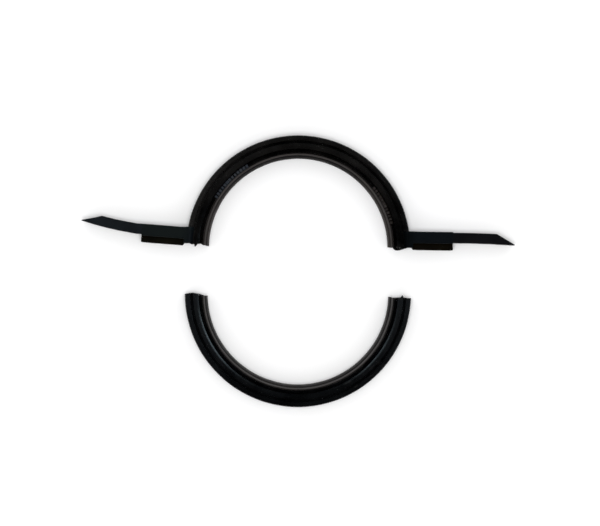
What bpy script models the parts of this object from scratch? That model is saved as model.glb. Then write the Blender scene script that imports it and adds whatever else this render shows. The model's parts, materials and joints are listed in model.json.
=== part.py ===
"""Two-piece shaft seal, its two half rings lying apart on their back faces.

The frame: +Z is the shaft's axis, the back faces lie on z = 0, +X runs along the ears,
and the origin is midway between the centres of the two half rings.

Each half ring is a rubber body round an L-shaped steel core, with a sealing lip inside.
The eared half also has an ear at each end: a root set into the ring, an arm with a
crush pad under it, and a curved tail with a slanted tip. An ear is one rubber strip,
divided here at the two places where it flexes.
"""

import math
from dataclasses import dataclass

import bmesh
import bpy
from mathutils import Vector

MM = 0.001

# Driving dimensions, in millimetres and degrees.
LAID_APART = 18.2
GAP = 0.3
ARC_STEPS = 32

OUTER_R = 44.5
RIB_HEIGHT = 0.3
RIB_HALF_WIDTH = 0.7
RIB_LEVELS = (2.9, 6.0)
WIDTH = 11.0
WEB_R = 38.0
BACK_CHAMFER = 0.6
RIM_TOP = 9.4
VALLEY_R = 41.8
VALLEY_Z = 8.7
BEAD_R = 40.2
BEAD_HALF_WIDTH = 1.35
BEAD_HEIGHT = 1.5
BEAD_STEPS = 6
GROOVE_BOTTOM = 6.0

CORE_OUTER_R = 43.2
CORE_INNER_R = 38.9
CORE_THICKNESS = 0.8
CORE_BACK = 1.5
CORE_FRONT = 7.8

LIP_BORE_R = 35.6
LIP_RIDGE_TOP = 10.3

# How far each half's end faces stop short of its ring's centre line.
EARED_END = 0.7
PLAIN_END = 0.65
END_MEAN_R = 41.0
# The eared half's core stops above the roots, and its channel opens into their pockets.
EARED_CORE_FROM = 11.5
EARED_CHANNEL_FROM = 9.0
PLAIN_CHANNEL_FROM = -3.0

ROOT_INNER_R = 42.0
ROOT_FACE_X = 44.35
ROOT_Z = (0.3, 10.4)
ARM_THICKNESS = 4.5
ARM_Z = (0.4, 10.4)
ARM_TOP = 7.1
FLEX_X = 46.9
PAD_THICKNESS = 2.61
PAD_Z = (1.2, 9.0)
PAD_INNER_U = -1.75
PAD_CHAMFER = 0.8
TAIL_THICKNESS = 4.0
TAIL_Z = (0.5, 10.2)
TAIL_LENGTH = 22.1
TAIL_SLANT = 7.2
TAIL_TIP = 0.35
TAIL_STEPS = 8
NOSE_STEPS = 8


@dataclass
class Ear:
    """One ear as it lies: angles in degrees, positive where the outer end is raised."""

    name: str
    side: int
    lift: float
    tilt: float
    reach: float
    tail_rise: float
    kink: float
    bend: float


EARS = (
    Ear("right", 1, lift=0.0, tilt=0.0, reach=14.0, tail_rise=0.0, kink=0.3, bend=-3.5),
    Ear("left", -1, lift=0.48, tilt=3.6, reach=14.9, tail_rise=0.25, kink=4.6, bend=9.0),
)

# Base colour, roughness and metallic value.
RING_RUBBER = ((0.010, 0.009, 0.009), 0.40, 0.0)
LIP_RUBBER = ((0.030, 0.026, 0.026), 0.55, 0.0)
EAR_RUBBER = ((0.008, 0.010, 0.012), 0.45, 0.0)
PAD_RUBBER = ((0.008, 0.005, 0.003), 0.60, 0.0)
CORE_STEEL = ((0.42, 0.42, 0.44), 0.35, 1.0)


def clear_scene():
    for obj in list(bpy.data.objects):
        bpy.data.objects.remove(obj, do_unlink=True)


def make_material(name, finish):
    colour, roughness, metallic = finish
    material = bpy.data.materials.new(name)
    material.use_nodes = True
    shader = material.node_tree.nodes["Principled BSDF"]
    shader.inputs["Base Color"].default_value = (*colour, 1.0)
    shader.inputs["Roughness"].default_value = roughness
    shader.inputs["Metallic"].default_value = metallic
    material.diffuse_color = (*colour, 1.0)
    return material


def make_empty(name, place, turn=0.0, parent=None):
    """An axis marker at place (mm), turned by an angle (degrees) about +Z."""
    empty = bpy.data.objects.new(name, None)
    empty.location = Vector(place) * MM
    empty.rotation_euler = (0.0, 0.0, math.radians(turn))
    empty.empty_display_size = 5 * MM
    empty.parent = parent
    bpy.context.scene.collection.objects.link(empty)
    return empty


def make_object(name, bm, parent, finish=None):
    """Turns a bmesh in millimetres into an object in metres. No finish means a cutter."""
    bmesh.ops.recalc_face_normals(bm, faces=bm.faces)
    bmesh.ops.scale(bm, vec=(MM, MM, MM), verts=bm.verts)
    mesh = bpy.data.meshes.new(name)
    bm.to_mesh(mesh)
    bm.free()
    mesh.shade_smooth()
    mesh.set_sharp_from_angle(angle=math.radians(35))
    obj = bpy.data.objects.new(name, mesh)
    obj.parent = parent
    bpy.context.scene.collection.objects.link(obj)
    if finish:
        mesh.materials.append(make_material(name + "_finish", finish))
    else:
        obj.hide_render = True
        obj.display_type = "WIRE"
    return obj


def cut(target, cutter):
    boolean = target.modifiers.new("cut_" + cutter.name, "BOOLEAN")
    boolean.operation = "DIFFERENCE"
    boolean.solver = "EXACT"
    boolean.object = cutter


def arc(centre, radius, start, end, steps):
    """Points on an arc from one angle to another, in degrees, both ends included."""
    angles = [math.radians(start + (end - start) * i / steps) for i in range(steps + 1)]
    return [
        (centre[0] + radius * math.cos(a), centre[1] + radius * math.sin(a)) for a in angles
    ]


def body_profile():
    """The rubber body's section as (radius, height), from its back face outwards."""
    wall_r = OUTER_R - RIB_HEIGHT
    points = [
        (WEB_R, BACK_CHAMFER),
        (WEB_R + BACK_CHAMFER, 0.0),
        (wall_r - BACK_CHAMFER, 0.0),
        (wall_r, BACK_CHAMFER),
    ]
    for level in RIB_LEVELS:
        points += [
            (wall_r, level - RIB_HALF_WIDTH),
            (OUTER_R, level),
            (wall_r, level + RIB_HALF_WIDTH),
        ]
    points += [
        (wall_r, RIM_TOP - 0.6),
        (wall_r - 0.5, RIM_TOP),
        (VALLEY_R + 0.7, RIM_TOP),
        (VALLEY_R, VALLEY_Z),
    ]
    bead_foot = WIDTH - BEAD_HEIGHT
    for i in range(BEAD_STEPS + 1):
        angle = math.pi * i / BEAD_STEPS
        radius = BEAD_R + BEAD_HALF_WIDTH * math.cos(angle)
        points.append((radius, bead_foot + BEAD_HEIGHT * math.sin(angle)))
    points += [
        (BEAD_R - BEAD_HALF_WIDTH - 0.1, GROOVE_BOTTOM + 0.3),
        (BEAD_R - BEAD_HALF_WIDTH - 0.35, GROOVE_BOTTOM),
        (WEB_R, GROOVE_BOTTOM),
    ]
    return points


def core_profile(grow=0.0):
    """The steel core's L-shaped section, grown on every side for its channel."""
    back = CORE_BACK - grow
    outer = CORE_OUTER_R + grow
    front = CORE_FRONT + grow
    flange_inner = CORE_OUTER_R - CORE_THICKNESS - grow
    flange_front = CORE_BACK + CORE_THICKNESS + grow
    inner = CORE_INNER_R - grow
    return [
        (inner, back),
        (outer, back),
        (outer, front),
        (flange_inner, front),
        (flange_inner, flange_front),
        (inner, flange_front),
    ]


def lip_profile():
    """The lip's section: foot, ridge, sealing edge, air-side cone and dust lip."""
    foot_r = WEB_R - GAP
    return [
        (foot_r, 1.4),
        (foot_r, GROOVE_BOTTOM),
        (foot_r - 0.05, LIP_RIDGE_TOP - 0.3),
        (foot_r - 0.30, LIP_RIDGE_TOP),
        (foot_r - 0.70, LIP_RIDGE_TOP),
        (foot_r - 0.95, LIP_RIDGE_TOP - 0.2),
        (foot_r - 1.15, LIP_RIDGE_TOP - 1.1),
        (foot_r - 1.40, LIP_RIDGE_TOP - 1.3),
        (LIP_BORE_R, 8.3),
        (LIP_BORE_R + 0.6, 6.8),
        (LIP_BORE_R + 1.0, 5.2),
        (LIP_BORE_R + 0.9, 4.0),
        (LIP_BORE_R + 0.5, 1.6),
        (LIP_BORE_R + 0.3, 0.7),
        (LIP_BORE_R + 0.75, 0.6),
        (LIP_BORE_R + 1.3, 1.4),
    ]


def spin_section(profile, first, last):
    """Sweeps a section about +Z between two angles, in degrees from +X."""
    bm = bmesh.new()
    turn = math.radians(first)
    corners = [
        bm.verts.new((r * math.cos(turn), r * math.sin(turn), z)) for r, z in profile
    ]
    face = bm.faces.new(corners)
    bmesh.ops.spin(
        bm,
        geom=[face, *face.verts, *face.edges],
        cent=(0.0, 0.0, 0.0),
        axis=(0.0, 0.0, 1.0),
        angle=math.radians(last - first),
        steps=ARC_STEPS,
    )
    return bm


def half_ring(profile, end_y):
    """A half ring whose two end faces lie in the plane y = end_y."""
    first = math.degrees(math.asin(end_y / END_MEAN_R))
    bm = spin_section(profile, first, 180 - first)
    step = math.radians(180 - 2 * first) / ARC_STEPS
    limit = math.radians(first) + step / 2
    for vert in bm.verts:
        angle = math.atan2(vert.co.y, vert.co.x)
        if angle < limit or angle > math.pi - limit:
            vert.co.y = end_y
    return bm


def extrude_outline(outline, levels, edge=0.0):
    """A plate with this (x, y) outline between two heights, its rims bevelled by edge."""
    low, high = levels
    bm = bmesh.new()
    face = bm.faces.new([bm.verts.new((x, y, low)) for x, y in outline])
    raised = bmesh.ops.extrude_face_region(bm, geom=[face], use_keep_orig=True)
    top = [item for item in raised["geom"] if isinstance(item, bmesh.types.BMVert)]
    bmesh.ops.translate(bm, vec=(0.0, 0.0, high - low), verts=top)
    if edge:
        rims = [e for e in bm.edges if abs(e.verts[0].co.z - e.verts[1].co.z) < 1e-6]
        bmesh.ops.bevel(
            bm, geom=rims, offset=edge, segments=2, profile=0.5, affect="EDGES"
        )
    return bm


def root_outline(ear, inner_r, face_x, bottom, grow=0.0):
    """An ear's root in plan: an arc against the ring, a flat outer face and a flat top."""
    top = ARM_TOP + ear.lift + grow
    start = math.degrees(math.asin(bottom / inner_r))
    end = math.degrees(math.asin(top / inner_r))
    inner = arc((0.0, 0.0), inner_r, end, start, 4)
    points = [(face_x, bottom), (face_x, top), *inner]
    return [(ear.side * x, y) for x, y in points]


def nose(radius):
    """The rounded end of an arm or a tail, about its flex axis, from top to bottom."""
    return arc((0.0, 0.0), radius, 90, 270, NOSE_STEPS)


def arm_outline(ear):
    half = ARM_THICKNESS / 2
    points = [*nose(half), (ear.reach, -half), (ear.reach, half)]
    return [(ear.side * u, v) for u, v in points]


def pad_outline(ear):
    top = -ARM_THICKNESS / 2 - GAP
    bottom = -ARM_THICKNESS / 2 - PAD_THICKNESS
    points = [
        (PAD_INNER_U, top),
        (PAD_INNER_U, bottom + PAD_CHAMFER),
        (PAD_INNER_U + PAD_CHAMFER + 0.15, bottom),
        (ear.reach, bottom),
        (ear.reach, top),
    ]
    return [(ear.side * u, v) for u, v in points]


def tail_outline(ear):
    """Nose, curved edges and a slanted tip along an arc of constant curvature."""
    half = TAIL_THICKNESS / 2
    radius = TAIL_LENGTH / math.radians(ear.bend)

    def along(s, offset):
        turn = s / radius
        u = radius * math.sin(turn) - offset * math.sin(turn)
        v = radius * (1 - math.cos(turn)) + offset * math.cos(turn)
        return u, v

    slant_from = TAIL_LENGTH - TAIL_SLANT
    bottom = [along(TAIL_LENGTH * i / TAIL_STEPS, -half) for i in range(1, TAIL_STEPS + 1)]
    top = [along(slant_from * i / TAIL_STEPS, half) for i in range(TAIL_STEPS, 0, -1)]
    points = [*nose(half), *bottom, along(TAIL_LENGTH, TAIL_TIP - half), *top]
    return [(ear.side * u, v) for u, v in points]


def build_inner_parts(half, centre, end_y, channel_from, core):
    """The parts that both halves have: body with its core channel, core and lip."""
    body = make_object(half + "_body", half_ring(body_profile(), end_y), centre, RING_RUBBER)
    channel = spin_section(core_profile(grow=GAP), channel_from, 180 - channel_from)
    cut(body, make_object(half + "_core_channel", channel, centre))
    make_object(half + "_core", core, centre, CORE_STEEL)
    make_object(half + "_lip", half_ring(lip_profile(), end_y), centre, LIP_RUBBER)
    return body


def build_ear(ear, centre, ring_body):
    name = ear.name + "_ear"
    root = root_outline(ear, ROOT_INNER_R, ROOT_FACE_X, EARED_END)
    make_object(name + "_root", extrude_outline(root, ROOT_Z, 0.15), centre, EAR_RUBBER)
    pocket = root_outline(ear, ROOT_INNER_R - GAP, OUTER_R + 2.0, -1.0, grow=GAP)
    cutter = extrude_outline(pocket, (-1.0, WIDTH + 1.0))
    cut(ring_body, make_object(name + "_pocket", cutter, centre))

    flex_y = ARM_TOP - ARM_THICKNESS / 2 + ear.lift
    flex = make_empty(
        name + "_flex_axis", (ear.side * FLEX_X, flex_y, 0.0), ear.side * ear.tilt, centre
    )
    arm = extrude_outline(arm_outline(ear), ARM_Z, 0.4)
    make_object(name + "_arm", arm, flex, EAR_RUBBER)
    pad = extrude_outline(pad_outline(ear), PAD_Z, 0.3)
    make_object(name + "_pad", pad, flex, PAD_RUBBER)

    tail_u = ear.reach + GAP + TAIL_THICKNESS / 2
    tail_axis = make_empty(
        ear.name + "_tail_flex_axis",
        (ear.side * tail_u, ear.tail_rise, 0.0),
        ear.side * ear.kink,
        flex,
    )
    tail = extrude_outline(tail_outline(ear), TAIL_Z, 0.1)
    make_object(name + "_tail", tail, tail_axis, EAR_RUBBER)


def build_eared_half():
    centre = make_empty("eared_half_centre", (0.0, LAID_APART / 2, 0.0))
    core = spin_section(core_profile(), EARED_CORE_FROM, 180 - EARED_CORE_FROM)
    body = build_inner_parts("eared_half", centre, EARED_END, EARED_CHANNEL_FROM, core)
    for ear in EARS:
        build_ear(ear, centre, body)


def build_plain_half():
    centre = make_empty("plain_half_centre", (0.0, -LAID_APART / 2, 0.0), turn=180.0)
    core = half_ring(core_profile(), PLAIN_END + GAP)
    build_inner_parts("plain_half", centre, PLAIN_END, PLAIN_CHANNEL_FROM, core)


clear_scene()
build_eared_half()
build_plain_half()
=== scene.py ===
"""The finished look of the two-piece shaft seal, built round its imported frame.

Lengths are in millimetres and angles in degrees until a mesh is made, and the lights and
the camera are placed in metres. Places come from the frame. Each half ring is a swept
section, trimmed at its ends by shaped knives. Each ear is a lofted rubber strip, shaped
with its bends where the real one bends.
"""

import json
import math

import bmesh
import bpy
from mathutils import Matrix, Vector, noise


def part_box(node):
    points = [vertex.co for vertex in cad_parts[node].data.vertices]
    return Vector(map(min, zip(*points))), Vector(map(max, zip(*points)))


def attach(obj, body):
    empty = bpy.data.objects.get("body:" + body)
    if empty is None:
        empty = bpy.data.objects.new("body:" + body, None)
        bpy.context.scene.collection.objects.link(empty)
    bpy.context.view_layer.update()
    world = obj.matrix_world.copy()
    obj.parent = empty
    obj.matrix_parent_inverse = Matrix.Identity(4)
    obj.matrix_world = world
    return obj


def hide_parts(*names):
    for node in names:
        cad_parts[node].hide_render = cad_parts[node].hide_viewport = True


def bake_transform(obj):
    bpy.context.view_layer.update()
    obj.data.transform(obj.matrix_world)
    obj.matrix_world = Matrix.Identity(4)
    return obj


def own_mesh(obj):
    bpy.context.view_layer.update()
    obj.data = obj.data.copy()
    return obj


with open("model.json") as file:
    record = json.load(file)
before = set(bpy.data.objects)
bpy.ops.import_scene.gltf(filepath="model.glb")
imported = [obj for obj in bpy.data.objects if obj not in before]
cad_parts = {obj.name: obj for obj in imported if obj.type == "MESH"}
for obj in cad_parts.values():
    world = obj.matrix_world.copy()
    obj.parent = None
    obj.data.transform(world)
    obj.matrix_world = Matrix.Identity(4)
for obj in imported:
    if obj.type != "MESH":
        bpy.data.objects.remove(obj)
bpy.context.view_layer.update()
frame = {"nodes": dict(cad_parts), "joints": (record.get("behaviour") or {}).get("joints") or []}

MM = 0.001
# Corners closer together than this, in metres, are welded after a cut.
WELD = 0.000002

# Blender seeds its noise from the clock unless it is told otherwise, and each run has to
# give the same surfaces.
noise.seed_set(11)


# ---------------------------------------------------------------- the frame, in mm


def node_box(name):
    """A CAD node's lowest and highest corners."""
    low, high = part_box(name)
    return low / MM, high / MM


def joint_place(name):
    """A point on a joint's axis."""
    joint = next(j for j in frame["joints"] if j["name"] == name)
    return Vector(joint["pos_m"]) / MM


PLAIN_LOW, PLAIN_HIGH = node_box("plain_half_body")
EARED_LOW, EARED_HIGH = node_box("eared_half_body")
OUTER_R = (PLAIN_HIGH.x - PLAIN_LOW.x) / 2
WIDTH = PLAIN_HIGH.z


class Half:
    """One half ring: where it lies, which way it opens and how its ring has set.

    end is the height of its end faces over its centre. grow is how far the ring stands
    outside its nominal radius, swell how much deeper its section is at mid arc, spread how
    far the lip has opened there, lean how far the middle of the section leans inwards at
    the half's own right end, and aside how far the ring has set sideways.
    """

    def __init__(self, name, centre_y, end_y, turn, grow, swell, spread, lean, aside):
        self.name = name
        self.centre_y = centre_y
        self.end = abs(end_y - centre_y)
        self.turn = turn
        self.grow = grow
        self.swell = swell
        self.spread = spread
        self.lean = lean
        self.aside = aside

    def place(self, aside=0.0):
        """From the half's own frame, with the ring on the +Y side, to the row frame."""
        turn = Matrix.Rotation(math.radians(self.turn), 4, "Z")
        return Matrix.Translation((aside, self.centre_y, 0.0)) @ turn

    def settled(self, r, turn):
        """Where a nominal radius stands at an angle round the half, in radians."""
        outwards = (r - LIP_BORE_R) / (OUTER_R - LIP_BORE_R)
        middle = max(0.0, math.sin(turn))
        r += self.grow + middle * (
            self.swell * outwards + self.spread * (1.0 - outwards) ** 4
        )
        first_end = max(0.0, math.cos(turn))
        return r - self.lean * first_end * 4.0 * outwards * (1.0 - outwards)


EARED = Half(
    "eared_half", EARED_HIGH.y - OUTER_R, EARED_LOW.y, turn=0.0,
    grow=-0.12, swell=0.20, spread=-0.05, lean=0.0, aside=-0.06,
)
PLAIN = Half(
    "plain_half", PLAIN_LOW.y + OUTER_R, PLAIN_HIGH.y, turn=180.0,
    grow=0.32, swell=0.0, spread=0.13, lean=0.32, aside=0.10,
)


# ---------------------------------------------------------------- small mesh tools


def arc(radius, start, end, steps):
    """Points on an arc round the origin between two angles, both ends included."""
    angles = [math.radians(start + (end - start) * i / steps) for i in range(steps + 1)]
    return [(radius * math.cos(a), radius * math.sin(a)) for a in angles]


# A fillet takes at most this share of a side, and a corner flatter than this has none.
SIDE_SHARE = 0.48
ALMOST_STRAIGHT = math.radians(88)


def rounded(corners, steps=4):
    """A closed outline from (x, y, fillet) corners, each fillet drawn as a soft curve."""
    outline = []
    count = len(corners)
    for i, (x, y, fillet) in enumerate(corners):
        here = Vector((x, y))
        back = Vector(corners[i - 1][:2]) - here
        ahead = Vector(corners[(i + 1) % count][:2]) - here
        half_angle = back.angle(ahead) / 2
        most = SIDE_SHARE * min(back.length, ahead.length)
        reach = min(fillet / math.tan(half_angle), most)
        if fillet <= 0.0 or half_angle > ALMOST_STRAIGHT:
            outline.append((x, y))
            continue
        first = here + back.normalized() * reach
        last = here + ahead.normalized() * reach
        for step in range(steps + 1):
            t = step / steps
            point = first.lerp(here, t).lerp(here.lerp(last, t), t)
            outline.append((point.x, point.y))
    return outline


def smooth_step(value, start, end):
    """0 before start, 1 after end, and a smooth rise between them."""
    t = min(1.0, max(0.0, (value - start) / (end - start)))
    return t * t * (3 - 2 * t)


def ripple(point, size, height):
    """A soft unevenness of a moulded surface: size and height in mm."""
    return noise.noise_vector(Vector(point) / size) * height


def uneven(point, size, height, seen_from=Vector()):
    """The point moved by the unevenness, but never below the table."""
    moved = point + ripple(point - seen_from, size, height)
    moved.z = max(moved.z, 0.0)
    return moved


def mesh_object(name, bm, place=None):
    """An object in metres from a bmesh in millimetres."""
    bmesh.ops.recalc_face_normals(bm, faces=bm.faces)
    if place:
        bm.transform(place)
    bmesh.ops.scale(bm, vec=(MM, MM, MM), verts=bm.verts)
    mesh = bpy.data.meshes.new(name)
    bm.to_mesh(mesh)
    bm.free()
    mesh.shade_smooth()
    obj = bpy.data.objects.new(name, mesh)
    bpy.context.scene.collection.objects.link(obj)
    return obj


def skin(sections):
    """A closed bmesh skin through sections that hold equally many points."""
    bm = bmesh.new()
    loops = [[bm.verts.new(point) for point in section] for section in sections]
    for first, second in zip(loops, loops[1:]):
        for i in range(len(first)):
            j = (i + 1) % len(first)
            bm.faces.new((first[i], first[j], second[j], second[i]))
    bm.faces.new(loops[0])
    bm.faces.new(loops[-1])
    return bm


def apply_modifiers(obj):
    """Keeps the mesh that an object's modifiers make, without the modifiers."""
    graph = bpy.context.evaluated_depsgraph_get()
    mesh = bpy.data.meshes.new_from_object(obj.evaluated_get(graph))
    old = obj.data
    obj.modifiers.clear()
    obj.data = mesh
    bpy.data.meshes.remove(old)


def edit_mesh(obj, edit):
    """Runs an edit on an object's mesh as a bmesh."""
    bm = bmesh.new()
    bm.from_mesh(obj.data)
    edit(bm)
    bm.to_mesh(obj.data)
    bm.free()


def triangulate(bm):
    """Splits every face into flat triangles, so that a cut through it is clean."""
    bmesh.ops.triangulate(bm, faces=bm.faces, quad_method="FIXED")


def tidy_cut(bm):
    """Removes the slivers that a cut leaves, and any pair of faces folded together."""
    bmesh.ops.remove_doubles(bm, verts=bm.verts, dist=WELD)
    bmesh.ops.dissolve_degenerate(bm, edges=bm.edges, dist=WELD)
    bmesh.ops.triangulate(bm, faces=bm.faces, ngon_method="BEAUTY")
    by_corners = {}
    for face in bm.faces:
        by_corners.setdefault(frozenset(face.verts), []).append(face)
    folded = [face for twins in by_corners.values() if len(twins) == 2 for face in twins]
    bmesh.ops.delete(bm, geom=folded, context="FACES")


def cut_all(obj, cutters):
    """Cuts an object with other objects, every face split flat first."""
    for piece in (obj, *cutters):
        edit_mesh(piece, triangulate)
    for cutter in cutters:
        boolean = obj.modifiers.new("cut", "BOOLEAN")
        boolean.operation = "DIFFERENCE"
        boolean.solver = "EXACT"
        boolean.object = cutter
    apply_modifiers(obj)
    edit_mesh(obj, tidy_cut)


def discard(objects):
    """Removes cutters once they have cut."""
    for obj in objects:
        mesh = obj.data
        bpy.data.objects.remove(obj, do_unlink=True)
        bpy.data.meshes.remove(mesh)


def finish_shading(obj, angle=32):
    """Smooth faces with crisp edges, their normals weighted by face area."""
    obj.data.shade_smooth()
    obj.data.set_sharp_from_angle(angle=math.radians(angle))
    weighted = obj.modifiers.new("weighted_normals", "WEIGHTED_NORMAL")
    weighted.keep_sharp = True
    apply_modifiers(obj)


# ---------------------------------------------------------------- node materials


# Where a colour Mix node keeps its two colours and its result.
MIX_A, MIX_B, MIX_RESULT = 6, 7, 2


class Nodes:
    """A material's node tree, with one short method for each kind of node it uses."""

    def __init__(self, name):
        self.material = bpy.data.materials.new(name)
        self.material.use_nodes = True
        self.tree = self.material.node_tree
        self.shader = self.tree.nodes["Principled BSDF"]
        coords = self.tree.nodes.new("ShaderNodeTexCoord")
        self.coords = coords.outputs["Object"]

    def link(self, source, target):
        """Feeds a socket from another node's output, or with a plain value."""
        if hasattr(source, "links"):
            self.tree.links.new(source, target)
        else:
            target.default_value = source

    def mapped(self, scale):
        """The object's own coordinates, scaled along each axis."""
        node = self.tree.nodes.new("ShaderNodeMapping")
        self.link(self.coords, node.inputs["Vector"])
        node.inputs["Scale"].default_value = scale
        return node.outputs["Vector"]

    def noise(self, size, detail=3.0, stretch=(1.0, 1.0, 1.0)):
        """Noise whose features measure about size mm, drawn out by stretch."""
        scale = [1.0 / (size * MM * s) for s in stretch]
        node = self.tree.nodes.new("ShaderNodeTexNoise")
        self.link(self.mapped(scale), node.inputs["Vector"])
        node.inputs["Scale"].default_value = 1.0
        node.inputs["Detail"].default_value = detail
        node.inputs["Roughness"].default_value = 0.55
        return node.outputs["Fac"]

    def specks(self, size, share):
        """1 inside round specks of about size mm, in a share of the cells, 0 elsewhere."""
        cell, edge = size * 6, (0.10, 0.06)
        node = self.tree.nodes.new("ShaderNodeTexVoronoi")
        self.link(self.mapped([1.0 / (cell * MM)] * 3), node.inputs["Vector"])
        node.inputs["Scale"].default_value = 1.0
        near = self.ramp(node.outputs["Distance"], *edge)
        chosen = self.tree.nodes.new("ShaderNodeSeparateColor")
        self.link(node.outputs["Color"], chosen.inputs["Color"])
        picked = self.ramp(chosen.outputs["Red"], 1.0 - share, 1.0 - share + 0.01)
        return self.math("MULTIPLY", near, picked)

    def ramp(self, value, low, high, out_low=0.0, out_high=1.0):
        """The value carried from one range to another, held at the new range's ends."""
        node = self.tree.nodes.new("ShaderNodeMapRange")
        node.clamp = True
        self.link(value, node.inputs["Value"])
        for key, number in zip(
            ("From Min", "From Max", "To Min", "To Max"), (low, high, out_low, out_high)
        ):
            node.inputs[key].default_value = number
        return node.outputs["Result"]

    def math(self, operation, a, b):
        node = self.tree.nodes.new("ShaderNodeMath")
        node.operation = operation
        self.link(a, node.inputs[0])
        self.link(b, node.inputs[1])
        return node.outputs["Value"]

    def mix(self, factor, a, b):
        """Colour a turning into colour b as the factor goes from 0 to 1."""
        node = self.tree.nodes.new("ShaderNodeMix")
        node.data_type = "RGBA"
        self.link(factor, node.inputs["Factor"])
        for colour, socket in ((a, node.inputs[MIX_A]), (b, node.inputs[MIX_B])):
            self.link((*colour, 1.0) if isinstance(colour, tuple) else colour, socket)
        return node.outputs[MIX_RESULT]

    def edges(self):
        """1 along convex edges, 0 on flat and hollow places."""
        geometry = self.tree.nodes.new("ShaderNodeNewGeometry")
        return self.ramp(geometry.outputs["Pointiness"], 0.52, 0.60)

    def ring_streaks(self, centre_y, size):
        """Noise that runs round the ring in streaks about size mm wide."""
        parts = self.tree.nodes.new("ShaderNodeSeparateXYZ")
        self.link(self.coords, parts.inputs["Vector"])
        y = self.math("SUBTRACT", parts.outputs["Y"], centre_y * MM)
        squares = self.math(
            "ADD",
            self.math("MULTIPLY", parts.outputs["X"], parts.outputs["X"]),
            self.math("MULTIPLY", y, y),
        )
        radius = self.math("SQRT", squares, 0.0)
        turn = self.math("ARCTAN2", y, parts.outputs["X"])
        joined = self.tree.nodes.new("ShaderNodeCombineXYZ")
        self.link(self.math("MULTIPLY", radius, 1.0 / (size * MM)), joined.inputs["X"])
        self.link(self.math("MULTIPLY", turn, 2.0), joined.inputs["Y"])
        height = self.math("MULTIPLY", parts.outputs["Z"], 1.0 / (size * MM))
        self.link(height, joined.inputs["Z"])
        node = self.tree.nodes.new("ShaderNodeTexNoise")
        self.link(joined.outputs["Vector"], node.inputs["Vector"])
        node.inputs["Scale"].default_value = 1.0
        node.inputs["Detail"].default_value = 2.0
        return node.outputs["Fac"]

    def bump(self, height, depth, below=None):
        """A bump of about depth mm, on top of another bump."""
        node = self.tree.nodes.new("ShaderNodeBump")
        self.link(height, node.inputs["Height"])
        node.inputs["Strength"].default_value = 1.0
        node.inputs["Distance"].default_value = depth * MM
        if below:
            self.link(below, node.inputs["Normal"])
        return node.outputs["Normal"]

    def set(self, **inputs):
        """Feeds the shader's inputs, _ standing for a space, and gives the material."""
        for key, value in inputs.items():
            self.link(value, self.shader.inputs[key.replace("_", " ")])
        return self.material


DUST_COLOUR = (0.09, 0.085, 0.08)


def rubber(name, dark, light, roughness, grain, gloss, wear, streaks=None, painted_light=None):
    """Moulded rubber: clouded colour, fine grain, paler worn edges and dust specks.

    The last argument gives, from 0 to 1, how much paler the rubber is painted: painted light
    where more light falls, painted shade where it is left dark, and with one the clouds stay
    faint. grain is how deep the finest bumps are, in mm.
    """
    nodes = Nodes(name)
    clouds = nodes.ramp(nodes.noise(9.0, detail=4.0), 0.35, 0.70)
    # Painted light and shade: the mask mixes the rubber's colour paler where more light falls.
    if painted_light:
        clouds = nodes.math("MULTIPLY", clouds, 0.4)
        painted_lightness = nodes.math("MULTIPLY", painted_light(nodes), 0.8)
        clouds = nodes.ramp(nodes.math("ADD", clouds, painted_lightness), 0.0, 1.0)
    colour = nodes.mix(clouds, dark, light)
    worn = nodes.math("MULTIPLY", nodes.edges(), nodes.ramp(nodes.noise(1.6), 0.4, 0.7))
    colour = nodes.mix(nodes.math("MULTIPLY", worn, 0.35), colour, wear)
    dust = nodes.specks(size=0.10, share=0.10)
    colour = nodes.mix(nodes.math("MULTIPLY", dust, 0.5), colour, DUST_COLOUR)
    patches = nodes.ramp(nodes.noise(2.5, detail=4.0), 0.3, 0.7, -0.05, 0.05)
    normal = nodes.bump(nodes.noise(0.8), grain * 1.5)
    normal = nodes.bump(nodes.noise(0.12, detail=2.0), grain, normal)
    if streaks:
        normal = nodes.bump(streaks(nodes), grain * 0.8, normal)
    return nodes.set(
        Base_Color=colour,
        Roughness=nodes.math("ADD", patches, roughness),
        Specular_IOR_Level=gloss,
        Normal=normal,
    )


def steel(name):
    """Pressed sheet steel with rolling marks and a few oily stains."""
    nodes = Nodes(name)
    stains = nodes.ramp(nodes.noise(3.0, detail=5.0), 0.45, 0.65)
    colour = nodes.mix(stains, (0.42, 0.42, 0.44), (0.24, 0.22, 0.20))
    marks = nodes.noise(0.25, stretch=(6.0, 6.0, 1.0))
    return nodes.set(
        Base_Color=colour,
        Metallic=1.0,
        Roughness=nodes.ramp(stains, 0.0, 1.0, 0.28, 0.5),
        Normal=nodes.bump(marks, 0.01),
    )


def ring_streaks_of(half):
    """Fine streaks round a half's own centre."""
    return lambda nodes: nodes.ring_streaks(half.centre_y, 0.35)


def ear_streaks(nodes):
    """Fine streaks along an ear."""
    return nodes.noise(0.3, stretch=(12.0, 1.0, 12.0))


def along(axis, start, end, most=1.0):
    """A share of painted light that grows between two places, in mm, along a row-frame axis."""

    def fade(nodes):
        parts = nodes.tree.nodes.new("ShaderNodeSeparateXYZ")
        nodes.link(nodes.coords, parts.inputs["Vector"])
        return nodes.ramp(parts.outputs[axis], start * MM, end * MM, 0.0, most)

    return fade


def either(first, second):
    """Painted light that shows wherever one of two masks of it does."""
    return lambda nodes: nodes.math("MAXIMUM", first(nodes), second(nodes))


def shared(first, second):
    """Painted light that shows only where both of two masks of it do."""
    return lambda nodes: nodes.math("MULTIPLY", first(nodes), second(nodes))


# ---------------------------------------------------------------- ring sections

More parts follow.
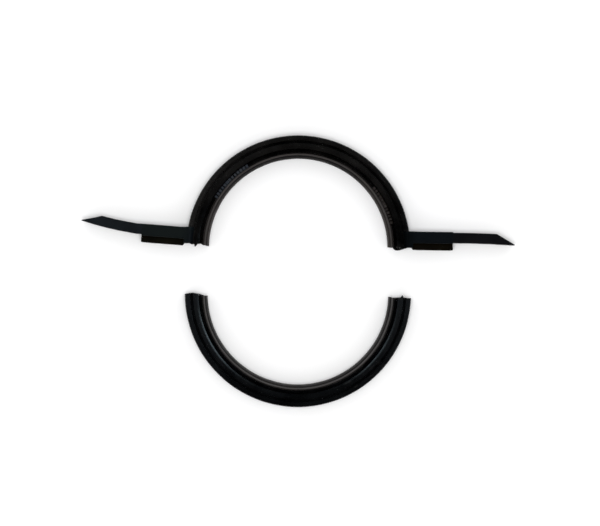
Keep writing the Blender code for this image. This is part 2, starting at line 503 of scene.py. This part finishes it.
# From the outside in: the wall between its ribs, the rim, the valley behind it, the
# bead, the deep groove, the web that the lip is bonded to, and the lip's bore.
WALL_R = OUTER_R - 0.3
RIM_TOP = WIDTH - 1.1
RIM_R = OUTER_R - 2.25
VALLEY_TOP = RIM_TOP - 1.5
BEAD_OUTER_R = OUTER_R - 3.3
BEAD_R = OUTER_R - 3.8
BEAD_INNER_R = OUTER_R - 5.4
BEAD_OUTER_DROP = 0.03
BEAD_INNER_DROP = 0.47
GROOVE_BOTTOM = 6.0
WEB_R = OUTER_R - 6.5
RIDGE_TOP = WIDTH - 0.7
LIP_BORE_R = OUTER_R - 9.2

# The channel that holds the core: its bore, the inside of its wall and its outside, and
# the heights of its floor, of its flange and of its wall.
CHANNEL_BORE_R, CHANNEL_WALL_R, CHANNEL_OUTER_R = 38.6, 42.1, 43.5
CHANNEL_FLOOR, CHANNEL_FLANGE, CHANNEL_TOP = 1.2, 2.6, 8.1

# Steps round a half ring, how many degrees it runs past its ends before they are
# trimmed, and how uneven the moulded surfaces are, in mm.
RING_STEPS = 150
OVERRUN = 3.0
BODY_UNEVEN = 0.05
LIP_UNEVEN = 0.04
# The eared half's channel stops this many degrees inside its ends, short of the pockets.
EARED_CHANNEL_FROM = 9.0


def bead_curve():
    """The bead from its outer foot to its inner one: low outside, steeper inside."""
    points = []
    for i in range(10):
        away = 1.0 - i / 10
        radius = BEAD_R + (BEAD_OUTER_R - BEAD_R) * away
        points.append((radius, WIDTH - BEAD_OUTER_DROP * away * away, 0.0))
    for i in range(11):
        away = i / 10
        radius = BEAD_R - (BEAD_R - BEAD_INNER_R) * away
        points.append((radius, WIDTH - BEAD_INNER_DROP * away * away, 0.0))
    return points


def body_section():
    """The ring body's section as (radius, height), its corners rounded."""
    corners = [
        (WEB_R, 0.6, 0.15),
        (WEB_R + 0.6, 0.0, 0.2),
        (WALL_R - 0.6, 0.0, 0.3),
        (WALL_R, 0.6, 0.3),
        (WALL_R, 2.2, 0.4),
        (OUTER_R, 2.9, 0.5),
        (WALL_R, 3.6, 0.4),
        (WALL_R, 5.3, 0.4),
        (OUTER_R, 6.0, 0.5),
        (WALL_R, 6.7, 0.4),
        (WALL_R + 0.05, RIM_TOP - 0.35, 0.12),
        (WALL_R - 0.20, RIM_TOP - 0.06, 0.12),
        (RIM_R + 0.75, RIM_TOP, 0.6),
        (RIM_R + 0.1, RIM_TOP - 0.1, 0.15),
        (RIM_R, VALLEY_TOP, 0.1),
        (BEAD_OUTER_R + 0.15, VALLEY_TOP, 0.1),
        *bead_curve(),
        (BEAD_INNER_R - 0.15, GROOVE_BOTTOM + 0.3, 0.1),
        (BEAD_INNER_R - 0.45, GROOVE_BOTTOM, 0.2),
        (WEB_R, GROOVE_BOTTOM, 0.1),
    ]
    return rounded(corners)


def lip_section():
    """The lip's section: foot, ridge, sealing edge, air-side cone and dust lip."""
    bond = WEB_R + 0.1
    wall = WEB_R - 0.70
    bore_r = LIP_BORE_R
    return rounded(
        [
            (bond, 1.4, 0.1),
            (bond, GROOVE_BOTTOM - 1.6, 0.1),
            (wall, GROOVE_BOTTOM - 1.4, 0.1),
            (wall, RIDGE_TOP - 0.25, 0.15),
            (wall - 0.10, RIDGE_TOP, 0.15),
            (wall - 0.52, RIDGE_TOP, 0.15),
            (wall - 0.66, RIDGE_TOP - 0.2, 0.1),
            (wall - 0.74, RIDGE_TOP - 1.5, 0.1),
            (wall - 1.04, RIDGE_TOP - 1.5, 0.1),
            (wall - 1.14, RIDGE_TOP - 0.9, 0.1),
            (bore_r + 0.35, RIDGE_TOP - 1.3, 0.3),
            (bore_r, RIDGE_TOP - 1.9, 0.1),
            (bore_r + 0.6, 6.8, 0.6),
            (bore_r + 1.0, 5.2, 0.6),
            (bore_r + 0.9, 4.0, 0.5),
            (bore_r + 0.5, 1.6, 0.4),
            (bore_r + 0.3, 0.7, 0.1),
            (bore_r + 0.75, 0.6, 0.1),
            (bore_r + 1.3, 1.4, 0.3),
        ]
    )


def channel_section():
    """The L-shaped channel that the steel core lies in."""
    return [
        (CHANNEL_BORE_R, CHANNEL_FLOOR),
        (CHANNEL_OUTER_R, CHANNEL_FLOOR),
        (CHANNEL_OUTER_R, CHANNEL_TOP),
        (CHANNEL_WALL_R, CHANNEL_TOP),
        (CHANNEL_WALL_R, CHANNEL_FLANGE),
        (CHANNEL_BORE_R, CHANNEL_FLANGE),
    ]


def sweep(section, first, last, steps, unevenness=0.0, half=None):
    """Sweeps a (radius, height) section round +Z between two angles, as the half has set."""
    sections = []
    for i in range(steps + 1):
        turn = math.radians(first + (last - first) * i / steps)
        outward = Vector((math.cos(turn), math.sin(turn), 0.0))
        points = []
        for r, z in section:
            if half:
                r = half.settled(r, turn)
            points.append(outward * r + Vector((0.0, 0.0, z)))
        if unevenness:
            points = [uneven(p, 7.0, unevenness) for p in points]
        sections.append(points)
    return skin(sections)


# ---------------------------------------------------------------- trimmed ring ends


# How each end was trimmed: (radius, height over the half's centre) across the face.
EARED_RIGHT_TRIM = [(35.4, 0.76), (36.4, 0.64), (38.0, 0.60), (44.0, 0.62)]
EARED_LEFT_TRIM = [
    (35.6, 0.12), (36.3, 0.24), (36.9, 0.46), (37.7, 0.50),
    (38.4, 0.92), (38.9, 1.04), (39.8, 0.92), (44.0, 0.90),
]
PLAIN_RIGHT_TRIM = [
    (35.6, 0.50), (36.1, 0.62), (36.8, 0.70), (37.4, 0.90),
    (39.0, 0.88), (40.2, 0.72), (41.2, 0.62), (41.9, 0.60),
    (42.3, 0.78), (43.0, 0.93), (44.5, 0.97),
]
PLAIN_LEFT_TRIM = [
    (36.0, 1.30), (37.2, 1.20), (37.8, 0.96), (38.4, 0.72),
    (39.4, 0.52), (40.6, 0.30), (41.6, 0.17), (42.6, 0.32),
    (43.6, 0.52), (44.6, 0.62),
]
# The plain half's left end bulges past this height.
CROWN_LEVEL = 0.50
# Between them these radii hold the whole section, with room to spare.
KNIFE_INNER_R, KNIFE_OUTER_R = 33.0, 48.0

# Flash: (x, y, half thickness, half height) stations in the half's own frame.
RIGHT_ROOT_FLASH = [
    (43.0, 0.85, 0.22, 0.40), (42.2, 0.64, 0.27, 0.45), (41.2, 0.38, 0.34, 0.5),
    (40.4, 0.15, 0.41, 0.50), (39.7, 0.07, 0.48, 0.50), (39.0, 0.07, 0.53, 0.5),
    (38.45, 0.10, 0.55, 0.5), (38.0, 0.24, 0.49, 0.45), (37.6, 0.50, 0.36, 0.4),
    (37.35, 0.80, 0.20, 0.30),
]
LEFT_ROOT_NIB = [
    (-40.50, 1.15, 0.92, 0.6), (-40.56, 0.72, 0.66, 0.50), (-40.66, 0.32, 0.38, 0.38),
    (-40.76, -0.09, 0.17, 0.18),
]
PLAIN_END_NIB = [
    (-41.20, 0.95, 0.90, 0.5), (-41.22, 0.52, 0.58, 0.40), (-41.26, 0.18, 0.27, 0.28),
    (-41.32, -0.17, 0.12, 0.14),
]


def smooth_curve(points, x):
    """The height at x of a smooth curve through (x, height) points, level beyond them."""
    if x <= points[0][0]:
        return points[0][1]
    if x >= points[-1][0]:
        return points[-1][1]
    i = max(k for k in range(len(points) - 1) if points[k][0] <= x)
    slopes = []
    for k in (i, i + 1):
        before, after = points[max(k - 1, 0)], points[min(k + 1, len(points) - 1)]
        slopes.append((after[1] - before[1]) / (after[0] - before[0]))
    (x0, y0), (x1, y1) = points[i], points[i + 1]
    width = x1 - x0
    t = (x - x0) / width
    rise = t * t * (3 - 2 * t)
    entry = t * (1 - t) ** 2 * width * slopes[0]
    leave = t * t * (t - 1) * width * slopes[1]
    return y0 + (y1 - y0) * rise + entry + leave


def knife(half, side, trim, level=None):
    """A block that cuts a ring end, its working face shaped by the trim.

    With a level, the face stays at least that high, so that nothing bulges past it.
    """
    across, upwards = 90, 12
    behind = -6.0
    sections = []
    for i in range(across + 1):
        radius = KNIFE_INNER_R + (KNIFE_OUTER_R - KNIFE_INNER_R) * i / across
        y = smooth_curve(trim, radius)
        if level:
            y = max(y, level)
        points = []
        for j in range(upwards + 1):
            z = -1.0 + (WIDTH + 2.0) * j / upwards
            scuff = ripple((radius, z, side * 20.0 + half.turn), 1.2, 0.05).y
            points.append((side * radius, y + scuff, z))
        points.append((side * radius, behind, WIDTH + 1.0))
        points.append((side * radius, behind, -1.0))
        sections.append(points)
    return mesh_object(half.name + "_knife", skin(sections), half.place())


def press_flat(piece, half, x, height):
    """Attaches rubber to its half's body with a mesh of its own; the point at x and that height is
    worked out, but nothing uses it.
    """
    anchor = half.place() @ Vector((x, height, 0.0)) * MM
    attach(piece, half.name)
    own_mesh(piece)


def whisker(name, half, path, middle_z, face, material):
    """A shred of flash that stands off a half's end face.

    path holds its stations, middle_z is the height of its middle over the back face, and
    face is how high the end face lies there.
    """
    around = 10
    sections = []
    for i, (x, y, thick, tall) in enumerate(path):
        before, after = path[max(i - 1, 0)], path[min(i + 1, len(path) - 1)]
        heading = Vector((after[0] - before[0], after[1] - before[1])).normalized()
        across = Vector((-heading.y, heading.x))
        points = []
        for k in range(around):
            turn = math.tau * k / around
            off = across * thick * math.cos(turn)
            points.append((x + off.x, y + off.y, middle_z + tall * math.sin(turn)))
        sections.append(points)
    piece = mesh_object(name, skin(sections), half.place())
    finish_shading(piece, angle=50)
    piece.data.materials.append(material)
    press_flat(piece, half, path[0][0], face)


# ---------------------------------------------------------------- half rings


# The wall of the pocket an ear sits in, and of the ear's root, which overlaps it a little.
POCKET_R = OUTER_R - 2.77
ROOT_R = OUTER_R - 2.74


def pocket_cutter(side, top, bottom, place):
    """The pocket in a ring end that an ear's root sits in."""
    start = math.degrees(math.asin(bottom / POCKET_R))
    end = math.degrees(math.asin(top / POCKET_R))
    outline = [(OUTER_R + 3.0, bottom), (OUTER_R + 3.0, top)]
    outline += arc(POCKET_R, end, start, 16)
    levels = (-1.0, WIDTH + 1.0)
    sections = [[(side * x, y, z) for x, y in outline] for z in levels]
    return mesh_object("pocket", skin(sections), place)


def channel_cutter(half, channel_from):
    """The core's channel, from that many degrees inside each end of a half."""
    sections = sweep(channel_section(), channel_from, 180 - channel_from, 60)
    return mesh_object("channel", sections, half.place())


def build_crown(half, name, trim, level, material):
    """The bulge of an end past a level, in soft rubber."""
    low, high = level + 0.02, 8.0
    corners = (
        (KNIFE_INNER_R, low), (KNIFE_OUTER_R, low), (KNIFE_OUTER_R, high), (KNIFE_INNER_R, high)
    )
    back = skin([[(x, y, z) for x, y in corners] for z in (-1.0, WIDTH + 1.0)])
    cutters = [
        knife(half, 1, trim),
        mesh_object("back_block", back, half.place()),
        channel_cutter(half, -OVERRUN),
    ]
    crown = mesh_object(
        name,
        sweep(body_section(), -OVERRUN, OVERRUN, 5, BODY_UNEVEN, half),
        half.place(half.aside),
    )
    cut_all(crown, cutters)
    discard(cutters)
    finish_shading(crown)
    crown.data.materials.clear()
    crown.data.materials.append(material)
    press_flat(crown, half, BEAD_R, level)


def build_half(half, trims, channel_from, extra_cutters, rubbers):
    """The ring body and lip of one half: swept, trimmed and channelled.

    trims holds, for each side, what its knife takes. rubbers are the body's and the lip's.
    """
    place = half.place(half.aside)
    span = (-OVERRUN, 180.0 + OVERRUN)
    knives = [knife(half, side, *trim) for side, trim in trims.items()]
    channel = channel_cutter(half, channel_from)
    body_skin = sweep(body_section(), *span, RING_STEPS, BODY_UNEVEN, half)
    body = mesh_object(half.name + "_ring", body_skin, place)
    cut_all(body, [channel, *knives, *extra_cutters])
    lip_skin = sweep(lip_section(), *span, RING_STEPS, LIP_UNEVEN, half)
    lip = mesh_object(half.name + "_seal_lip", lip_skin, place)
    cut_all(lip, knives)
    discard([channel, *knives, *extra_cutters])
    for piece, node, material, slot in (
        (body, half.name + "_body", rubbers[0], "ring_rubber"),
        (lip, half.name + "_lip", rubbers[1], "lip_rubber"),
    ):
        finish_shading(piece)
        piece.data.materials.clear()
        piece.data.materials.append(material)
        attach(piece, half.name)
        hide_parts(node)


def build_marks(half, name, first, last, count, material):
    """A row of small raised blanks, between two angles, where the mould has its marks."""
    bm = bmesh.new()
    inner, outer = LIP_BORE_R + 2.05, LIP_BORE_R + 3.35
    fillet = 0.14
    # (height, size): upright sides, then a bevel up to a smaller top.
    levels = ((GROOVE_BOTTOM - 0.1, 1.0), (RIDGE_TOP - 0.75, 1.0), (RIDGE_TOP - 0.6, 0.8))
    pitch = math.radians(last - first) / count
    for k in range(count):
        share = 0.38 + 0.22 * noise.noise(Vector((k * 7.3, first, 0.5)))
        middle = math.radians(first) + pitch * (k + 0.5)
        corners = []
        for across, r in ((-share, inner), (share, inner), (share, outer), (-share, outer)):
            turn = middle + pitch * across
            corners.append((r * math.cos(turn), r * math.sin(turn), fillet))
        outline = rounded(corners, steps=3)
        middle_x = sum(x for x, _ in outline) / len(outline)
        middle_y = sum(y for _, y in outline) / len(outline)
        sections = []
        for z, size in levels:
            sections.append(
                [
                    (middle_x + (x - middle_x) * size, middle_y + (y - middle_y) * size, z)
                    for x, y in outline
                ]
            )
        block = skin(sections)
        mesh = bpy.data.meshes.new("block")
        block.to_mesh(mesh)
        block.free()
        bm.from_mesh(mesh)
        bpy.data.meshes.remove(mesh)
    marks = mesh_object(name, bm, half.place(half.aside))
    finish_shading(marks, angle=40)
    marks.data.materials.append(material)
    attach(marks, half.name)


# ---------------------------------------------------------------- ears


# side is +1 for the ear on +X. The arm tilts by so many degrees and reaches so far past
# its flex axis. The tail starts that rise off the arm's middle, turns by the kink, and
# bends by so many degrees over its length. notch cuts the root's lower edge back, and
# pad_from is where the pad starts, outside the ring.
EARS = {
    "right": dict(
        side=1, tilt=0.0, reach=14.0, rise=0.0,
        kink=0.3, bend=-3.5, length=22.1, notch=0.0, pad_from=0.45,
    ),
    "left": dict(
        side=-1, tilt=3.6, reach=14.9, rise=0.25,
        kink=4.6, bend=9.0, length=21.5, notch=0.45, pad_from=0.68,
    ),
}
# Half the depth of an arm and of a tail, the pad's underside, and how long a tail's
# slanted end is and how thick it is at its tip.
ARM_HALF = 2.33
TAIL_HALF = 2.06
PAD_BOTTOM = -4.96
SLANT = 7.2
TIP = 0.35

# Distances from the half's middle over which the root's notch grows, and over which its
# top comes up level with the arm's, and how far down that top starts.
NOTCH_SPAN = (41.6, 43.4)
ROOT_RISE_SPAN = (41.2, 43.2)
ROOT_DROP = 1.1

# How far past the arm's end the tail's axis lies.
TAIL_AXIS_GAP = 2.3


def rounded_box(u, low, high, floor, roof, corner):
    """A station across an ear at u: v from low to high, z from floor to roof."""
    corner = min(corner, (high - low) * 0.45, (roof - floor) * 0.45)
    corners = [(low, floor), (high, floor), (high, roof), (low, roof)]
    return [(u, v, z) for v, z in rounded([(*c, corner) for c in corners])]


def subdivided(u, low, high, floor, roof, corner):
    """The same station with extra points along its sides, for soft unevenness."""
    cuts = 5
    points = rounded_box(u, low, high, floor, roof, corner)
    per_corner = len(points) // 4
    result = []
    for i, here in enumerate(points):
        result.append(here)
        if i % per_corner == per_corner - 1:
            a, b = Vector(here), Vector(points[(i + 1) % len(points)])
            result += [tuple(a.lerp(b, k / cuts)) for k in range(1, cuts)]
    return result


def spaced(start, end, step):
    """Even places from start to end, at most a step apart."""
    count = max(1, math.ceil((end - start) / step))
    return [start + (end - start) * i / count for i in range(count + 1)]


def ear_matrix(origin, side, turn):
    """From an ear's own (u, v, z) to the row frame: u along the ear, v across it."""
    flip = Matrix.Diagonal((side, 1.0, 1.0, 1.0))
    return (
        Matrix.Translation((origin.x, origin.y, 0.0))
        @ Matrix.Rotation(math.radians(side * turn), 4, "Z")
        @ flip
    )


def build_arm(name, spec, looks):
    """Root and arm in one strip: the root fills the ring's pocket, the arm leaves it."""
    side = spec["side"]
    flex = joint_place(name + "_ear_flex")
    floor, roof = (p.z for p in node_box(name + "_ear_arm"))
    straight = ear_matrix(flex, side, 0.0)
    tilted = ear_matrix(flex, side, spec["tilt"])
    centre = Vector((0.0, EARED.centre_y, 0.0))
    ring_x = abs(flex.x)
    end_v = EARED.centre_y + EARED.end - flex.y
    neck_u = OUTER_R + 0.65 - ring_x

    def low_edge(u):
        """The strip's lower edge: the ring's end face, or the pocket's wall above it."""
        x = ring_x + u
        over = ROOT_R * ROOT_R - x * x
        arc_v = EARED.centre_y + math.sqrt(over) - flex.y if over > 0 else end_v
        return max(end_v + spec["notch"] * smooth_step(x, *NOTCH_SPAN), arc_v)

    top_x = math.sqrt(ROOT_R**2 - (flex.y + ARM_HALF - EARED.centre_y) ** 2)
    stations = []
    for u in spaced(top_x - ring_x + 0.05, ROOT_R - ring_x + 0.05, 0.08):
        stations.append((u, low_edge(u)))
    for u in spaced(ROOT_R - ring_x + 0.15, neck_u, 0.2):
        stations.append((u, low_edge(u)))
    for u in spaced(neck_u + 0.03, spec["reach"], 0.35):
        stations.append((u, -ARM_HALF))
    sections = []
    for u, low in stations:
        inner_drop = ROOT_DROP * (1.0 - smooth_step(u + ring_x, *ROOT_RISE_SPAN))
        box = subdivided(u, low, ARM_HALF, floor, roof - inner_drop, 0.4)
        share = smooth_step(u, -3.0, 0.5)
        points = []
        for point in box:
            p = Vector(point)
            placed = (straight @ p).lerp(tilted @ p, share)
            points.append(uneven(placed, 5.0, 0.05, centre))
        sections.append(points)
    arm = mesh_object(name + "_ear_strip", skin(sections))
    finish_shading(arm)
    arm.data.materials.append(looks["ear"])
    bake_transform(arm)
    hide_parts(name + "_ear_root", name + "_ear_arm")


def build_pad(name, spec, looks):
    """The crush pad under an arm: a soft block, its inner lower corner cut off."""
    side = spec["side"]
    flex = joint_place(name + "_ear_flex")
    floor, roof = (p.z for p in node_box(name + "_ear_pad"))
    place = ear_matrix(flex, side, spec["tilt"])
    inner_u = OUTER_R + spec["pad_from"] - abs(flex.x)
    sections = []
    for u in spaced(inner_u, spec["reach"] + 0.05, 0.3):
        lift = 0.8 * (1.0 - smooth_step(u, inner_u - 0.3, inner_u + 0.6))
        end_round = 0.15 * smooth_step(u, spec["reach"] - 0.5, spec["reach"])
        low = PAD_BOTTOM + lift + end_round
        box = subdivided(u, low, -ARM_HALF + 0.06, floor, roof - end_round, 0.35)
        points = [place @ Vector(p) for p in box]
        sections.append([uneven(p, 3.0, 0.08) for p in points])
    pad = mesh_object(name + "_crush_pad", skin(sections))
    finish_shading(pad)
    pad.data.materials.append(looks["pad"])
    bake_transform(pad)
    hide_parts(name + "_ear_pad")


def build_tail(name, spec, looks):
    """The tail: it leaves the arm's step, curves, and ends in a slanted tip."""
    side = spec["side"]
    flex = joint_place(name + "_ear_flex")
    axis = joint_place(name + "_tail_flex")
    floor, roof = (p.z for p in node_box(name + "_ear_tail"))
    arm_place = ear_matrix(flex, side, spec["tilt"])
    tail_place = ear_matrix(axis, side, spec["tilt"] + spec["kink"])
    length = spec["length"]
    radius = length / math.radians(spec["bend"])
    axis_u = spec["reach"] + TAIL_AXIS_GAP

    def bent(s, v, z):
        """A point s along the tail's curve and v across it, from the tail's axis."""
        turn = s / radius
        u = (radius - v) * math.sin(turn)
        return Vector((u, radius - (radius - v) * math.cos(turn), z))

    start_s = spec["reach"] - axis_u
    slant_from = length - SLANT
    sections = []
    for s in [*spaced(start_s, 3.0, 0.25), *spaced(3.4, length, 0.3)]:
        high = TAIL_HALF
        if s > slant_from:
            high -= (2 * TAIL_HALF - TIP) * (s - slant_from) / SLANT
        box = subdivided(s, -TAIL_HALF, high, floor, roof, 0.3)
        share = smooth_step(s, start_s, 1.5)
        points = []
        for _, v, z in box:
            on_arm = arm_place @ Vector((axis_u + s, spec["rise"] + v, z))
            on_tail = tail_place @ bent(s, v, z)
            placed = on_arm.lerp(on_tail, share)
            points.append(uneven(placed, 5.0, 0.05))
        sections.append(points)
    tail = mesh_object(name + "_ear_tip", skin(sections))
    finish_shading(tail)
    tail.data.materials.append(looks["tail"])
    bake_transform(tail)
    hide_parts(name + "_ear_tail")


# ---------------------------------------------------------------- stage


def build_stage():
    """A white table top under the halves."""
    bm = bmesh.new()
    bmesh.ops.create_grid(bm, x_segments=1, y_segments=1, size=1500.0)
    floor = mesh_object("table_top", bm)
    floor.location.z = -0.05 * MM
    nodes = Nodes("table_white")
    clouds = nodes.ramp(nodes.noise(60.0), 0.4, 0.6)
    tint = nodes.mix(clouds, (0.92, 0.92, 0.925), (0.91, 0.91, 0.91))
    floor.data.materials.append(nodes.set(Base_Color=tint, Roughness=0.9, Specular_IOR_Level=0.0))


def area_light(name, size, power, colour, sees):
    """A soft box at the origin that faces down. sees says which rays meet it."""
    light = bpy.data.lights.new(name, "AREA")
    light.shape = "RECTANGLE"
    light.size, light.size_y = size
    light.energy = power
    light.color = colour
    obj = bpy.data.objects.new(name, light)
    obj.visible_diffuse = sees == "diffuse"
    obj.visible_glossy = sees == "glossy"
    bpy.context.scene.collection.objects.link(obj)
    return obj


def card(name, azimuth, elevation, distance, size, power, colour):
    """A soft box that only shines show, aimed at the origin from a direction in degrees."""
    obj = area_light(name, size, power, colour, "glossy")
    a, e = math.radians(azimuth), math.radians(elevation)
    away = Vector((math.cos(a) * math.cos(e), math.sin(a) * math.cos(e), math.sin(e)))
    obj.location = away * distance
    obj.rotation_euler = away.to_track_quat("Z", "Y").to_euler()


def build_lights():
    """A white dome that only matt surfaces see, a key light, and cards for the shine."""
    white, sky = (1.0, 1.0, 1.0), (0.72, 0.90, 1.0)
    key = area_light("key", (0.15, 0.15), 2.05, white, "diffuse")
    key.location = (0.0, -0.03, 0.67)
    card("card_right", 28, 38, 0.9, (0.34, 0.35), 1.9, sky)
    card("card_left", 145, 38, 0.9, (0.34, 0.3), 0.97, sky)
    card("card_above", 200, 80, 1.5, (1.6, 1.6), 0.06, white)
    world = bpy.data.worlds.new("studio")
    world.use_nodes = True
    background = world.node_tree.nodes["Background"]
    background.inputs["Color"].default_value = (1.0, 1.0, 1.0, 1.0)
    background.inputs["Strength"].default_value = 0.86
    world.cycles_visibility.glossy = False
    bpy.context.scene.world = world


def build_camera():
    """Straight above, rolled a little, its middle a little up and right of the origin."""
    camera = bpy.data.cameras.new("camera")
    obj = bpy.data.objects.new("camera", camera)
    roll = math.radians(0.9)
    distance, width = 1.0, 0.2374
    camera.sensor_width = 36.0
    camera.lens = camera.sensor_width * distance / width
    camera.clip_start, camera.clip_end = 0.01, 10.0
    middle_height = 0.006
    obj.location = (0.00074, 0.00314, distance + middle_height)
    obj.rotation_euler = (0.0, 0.0, roll)
    bpy.context.scene.collection.objects.link(obj)
    bpy.context.scene.camera = obj


# ---------------------------------------------------------------- the whole


def build_materials():
    """Every rubber and the steel, by the piece that wears it."""
    ring = dict(roughness=0.28, grain=0.010, gloss=0.35, wear=(0.024, 0.022, 0.022))
    lip = dict(roughness=0.50, grain=0.02, gloss=0.3, wear=(0.080, 0.074, 0.074))
    # Painted light: the lip's ridge is painted paler at its top, where light falls on it, and the
    # eared lip paler towards its ends.
    crest = along("Z", RIDGE_TOP - 0.55, RIDGE_TOP - 0.15)
    crest_and_ends = either(crest, along("Y", 45.0, 24.0))
    rim = shared(
        along("Z", RIM_TOP + 0.5, RIM_TOP + 0.2), along("Z", GROOVE_BOTTOM + 0.5, VALLEY_TOP + 0.8)
    )
    # Painted light: the eared rim is painted paler on its left side, where more light falls.
    left_rim = shared(along("X", -15.0, -38.0), rim)
    # Painted light: the rubber is painted paler on raised faces where light falls, and left dark
    # in the valley and the groove as painted shade.
    raised = along("Z", VALLEY_TOP + 0.2, VALLEY_TOP + 1.0)
    # Painted light: the eared half is painted paler towards its top as well.
    top_and_rim = either(shared(along("Y", 22.0, 42.0, 0.38), raised), left_rim)
    ear = dict(roughness=0.34, grain=0.012, gloss=0.15, streaks=ear_streaks)
    pad = dict(roughness=0.70, grain=0.05, gloss=0.06, wear=(0.010, 0.007, 0.004))
    eared_streaks, plain_streaks = ring_streaks_of(EARED), ring_streaks_of(PLAIN)
    return {
        "eared_half": rubber(
            "eared_half_rubber", (0.0002, 0.0001, 0.0001), (0.0096, 0.0090, 0.0085),
            streaks=eared_streaks, painted_light=top_and_rim, **ring
        ),
        # Painted light and shade: the plain half is painted darker towards its bottom and paler
        # towards its ends, and dark in the valley and the groove.
        "plain_half": rubber(
            "plain_half_rubber", (0.0004, 0.0005, 0.0008), (0.0053, 0.0062, 0.0073),
            streaks=plain_streaks, painted_light=shared(along("Y", -48.0, -12.0), raised), **ring
        ),
        "eared_lip": rubber(
            "eared_lip_rubber", (0.0088, 0.0082, 0.0086), (0.037, 0.032, 0.030),
            streaks=eared_streaks, painted_light=crest_and_ends, **lip
        ),
        "plain_lip": rubber(
            "plain_lip_rubber", (0.019, 0.0175, 0.017), (0.050, 0.046, 0.045),
            streaks=plain_streaks, painted_light=crest, **lip
        ),
        # The two rows of marks are one rubber: the left row is painted paler than the right, as
        # painted light where more light falls on the left side.
        "left_marks": rubber(
            "left_marks_rubber", (0.017, 0.021, 0.029), (0.022, 0.028, 0.037), **lip
        ),
        "right_marks": rubber(
            "right_marks_rubber", (0.012, 0.009, 0.0075), (0.016, 0.012, 0.010), **lip
        ),
        # Painted shade: each ear is painted darker towards its root, where it meets the ring.
        "right_ear": rubber(
            "right_ear_rubber", (0.0008, 0.0012, 0.0015), (0.0022, 0.0034, 0.0048),
            painted_light=along("X", 42.5, 46.5), wear=(0.010, 0.012, 0.013), **ear
        ),
        "right_tail": rubber(
            "right_tail_rubber", (0.0026, 0.0028, 0.0036), (0.0042, 0.0044, 0.0056),
            wear=(0.012, 0.013, 0.015), **ear
        ),
        # The ears are one rubber: the left ear and tail are painted paler than the right ones, and
        # each tail paler than its arm, as painted light where more light falls.
        "left_ear": rubber(
            "left_ear_rubber", (0.0026, 0.0038, 0.0056), (0.0050, 0.0072, 0.0072),
            painted_light=along("X", -42.5, -46.5), wear=(0.018, 0.020, 0.021), **ear
        ),
        "left_tail": rubber(
            "left_tail_rubber", (0.0052, 0.0066, 0.0080), (0.0078, 0.0102, 0.0126),
            wear=(0.022, 0.026, 0.030), **ear
        ),
        "right_pad": rubber(
            "right_pad_rubber", (0.0022, 0.0012, 0.0001), (0.0038, 0.0024, 0.0003), **pad
        ),
        "left_pad": rubber(
            "left_pad_rubber", (0.0022, 0.0018, 0.0006), (0.0042, 0.0036, 0.0014), **pad
        ),
        "core": steel("core_steel_finish"),
    }


def build_flash(materials):
    """Shreds of flash: a strip and a nib on the eared half, and a nib on the plain one."""
    eared, plain = materials["eared_half"], materials["plain_half"]
    whisker("right_root_flash", EARED, RIGHT_ROOT_FLASH, middle_z=9.4, face=0.62, material=eared)
    whisker("left_root_nib", EARED, LEFT_ROOT_NIB, middle_z=9.3, face=0.92, material=eared)
    whisker("plain_end_nib", PLAIN, PLAIN_END_NIB, middle_z=9.6, face=0.62, material=plain)


def build_all():
    """The whole model and its stage."""
    materials = build_materials()
    for node in ("eared_half_core", "plain_half_core"):
        obj = frame["nodes"][node]
        obj.data.materials.clear()
        obj.data.materials.append(materials["core"])

    slack, pocket_bottom = 0.03, 0.05
    pockets = []
    for name, spec in EARS.items():
        top = joint_place(name + "_ear_flex").y + ARM_HALF - EARED.centre_y + slack
        pockets.append(pocket_cutter(spec["side"], top, pocket_bottom, EARED.place()))
    eared_trims = {1: (EARED_RIGHT_TRIM,), -1: (EARED_LEFT_TRIM,)}
    eared_rubbers = (materials["eared_half"], materials["eared_lip"])
    build_half(EARED, eared_trims, EARED_CHANNEL_FROM, pockets, eared_rubbers)
    # The plain half is turned half a turn, so its -1 side is the right end.
    plain_trims = {-1: (PLAIN_RIGHT_TRIM,), 1: (PLAIN_LEFT_TRIM, CROWN_LEVEL)}
    plain_rubbers = (materials["plain_half"], materials["plain_lip"])
    build_half(PLAIN, plain_trims, -OVERRUN, [], plain_rubbers)
    build_crown(PLAIN, "plain_end_crown", PLAIN_LEFT_TRIM, CROWN_LEVEL, materials["plain_half"])
    build_marks(EARED, "left_mould_marks", 122, 150, 13, materials["left_marks"])
    build_marks(EARED, "right_mould_marks", 15, 40, 12, materials["right_marks"])
    build_flash(materials)

    for name, spec in EARS.items():
        looks = {key: materials[name + "_" + key] for key in ("ear", "tail", "pad")}
        build_arm(name, spec, looks)
        build_pad(name, spec, looks)
        build_tail(name, spec, looks)

    build_stage()
    build_lights()
    build_camera()
    bpy.context.scene.view_settings.view_transform = "Standard"


build_all()
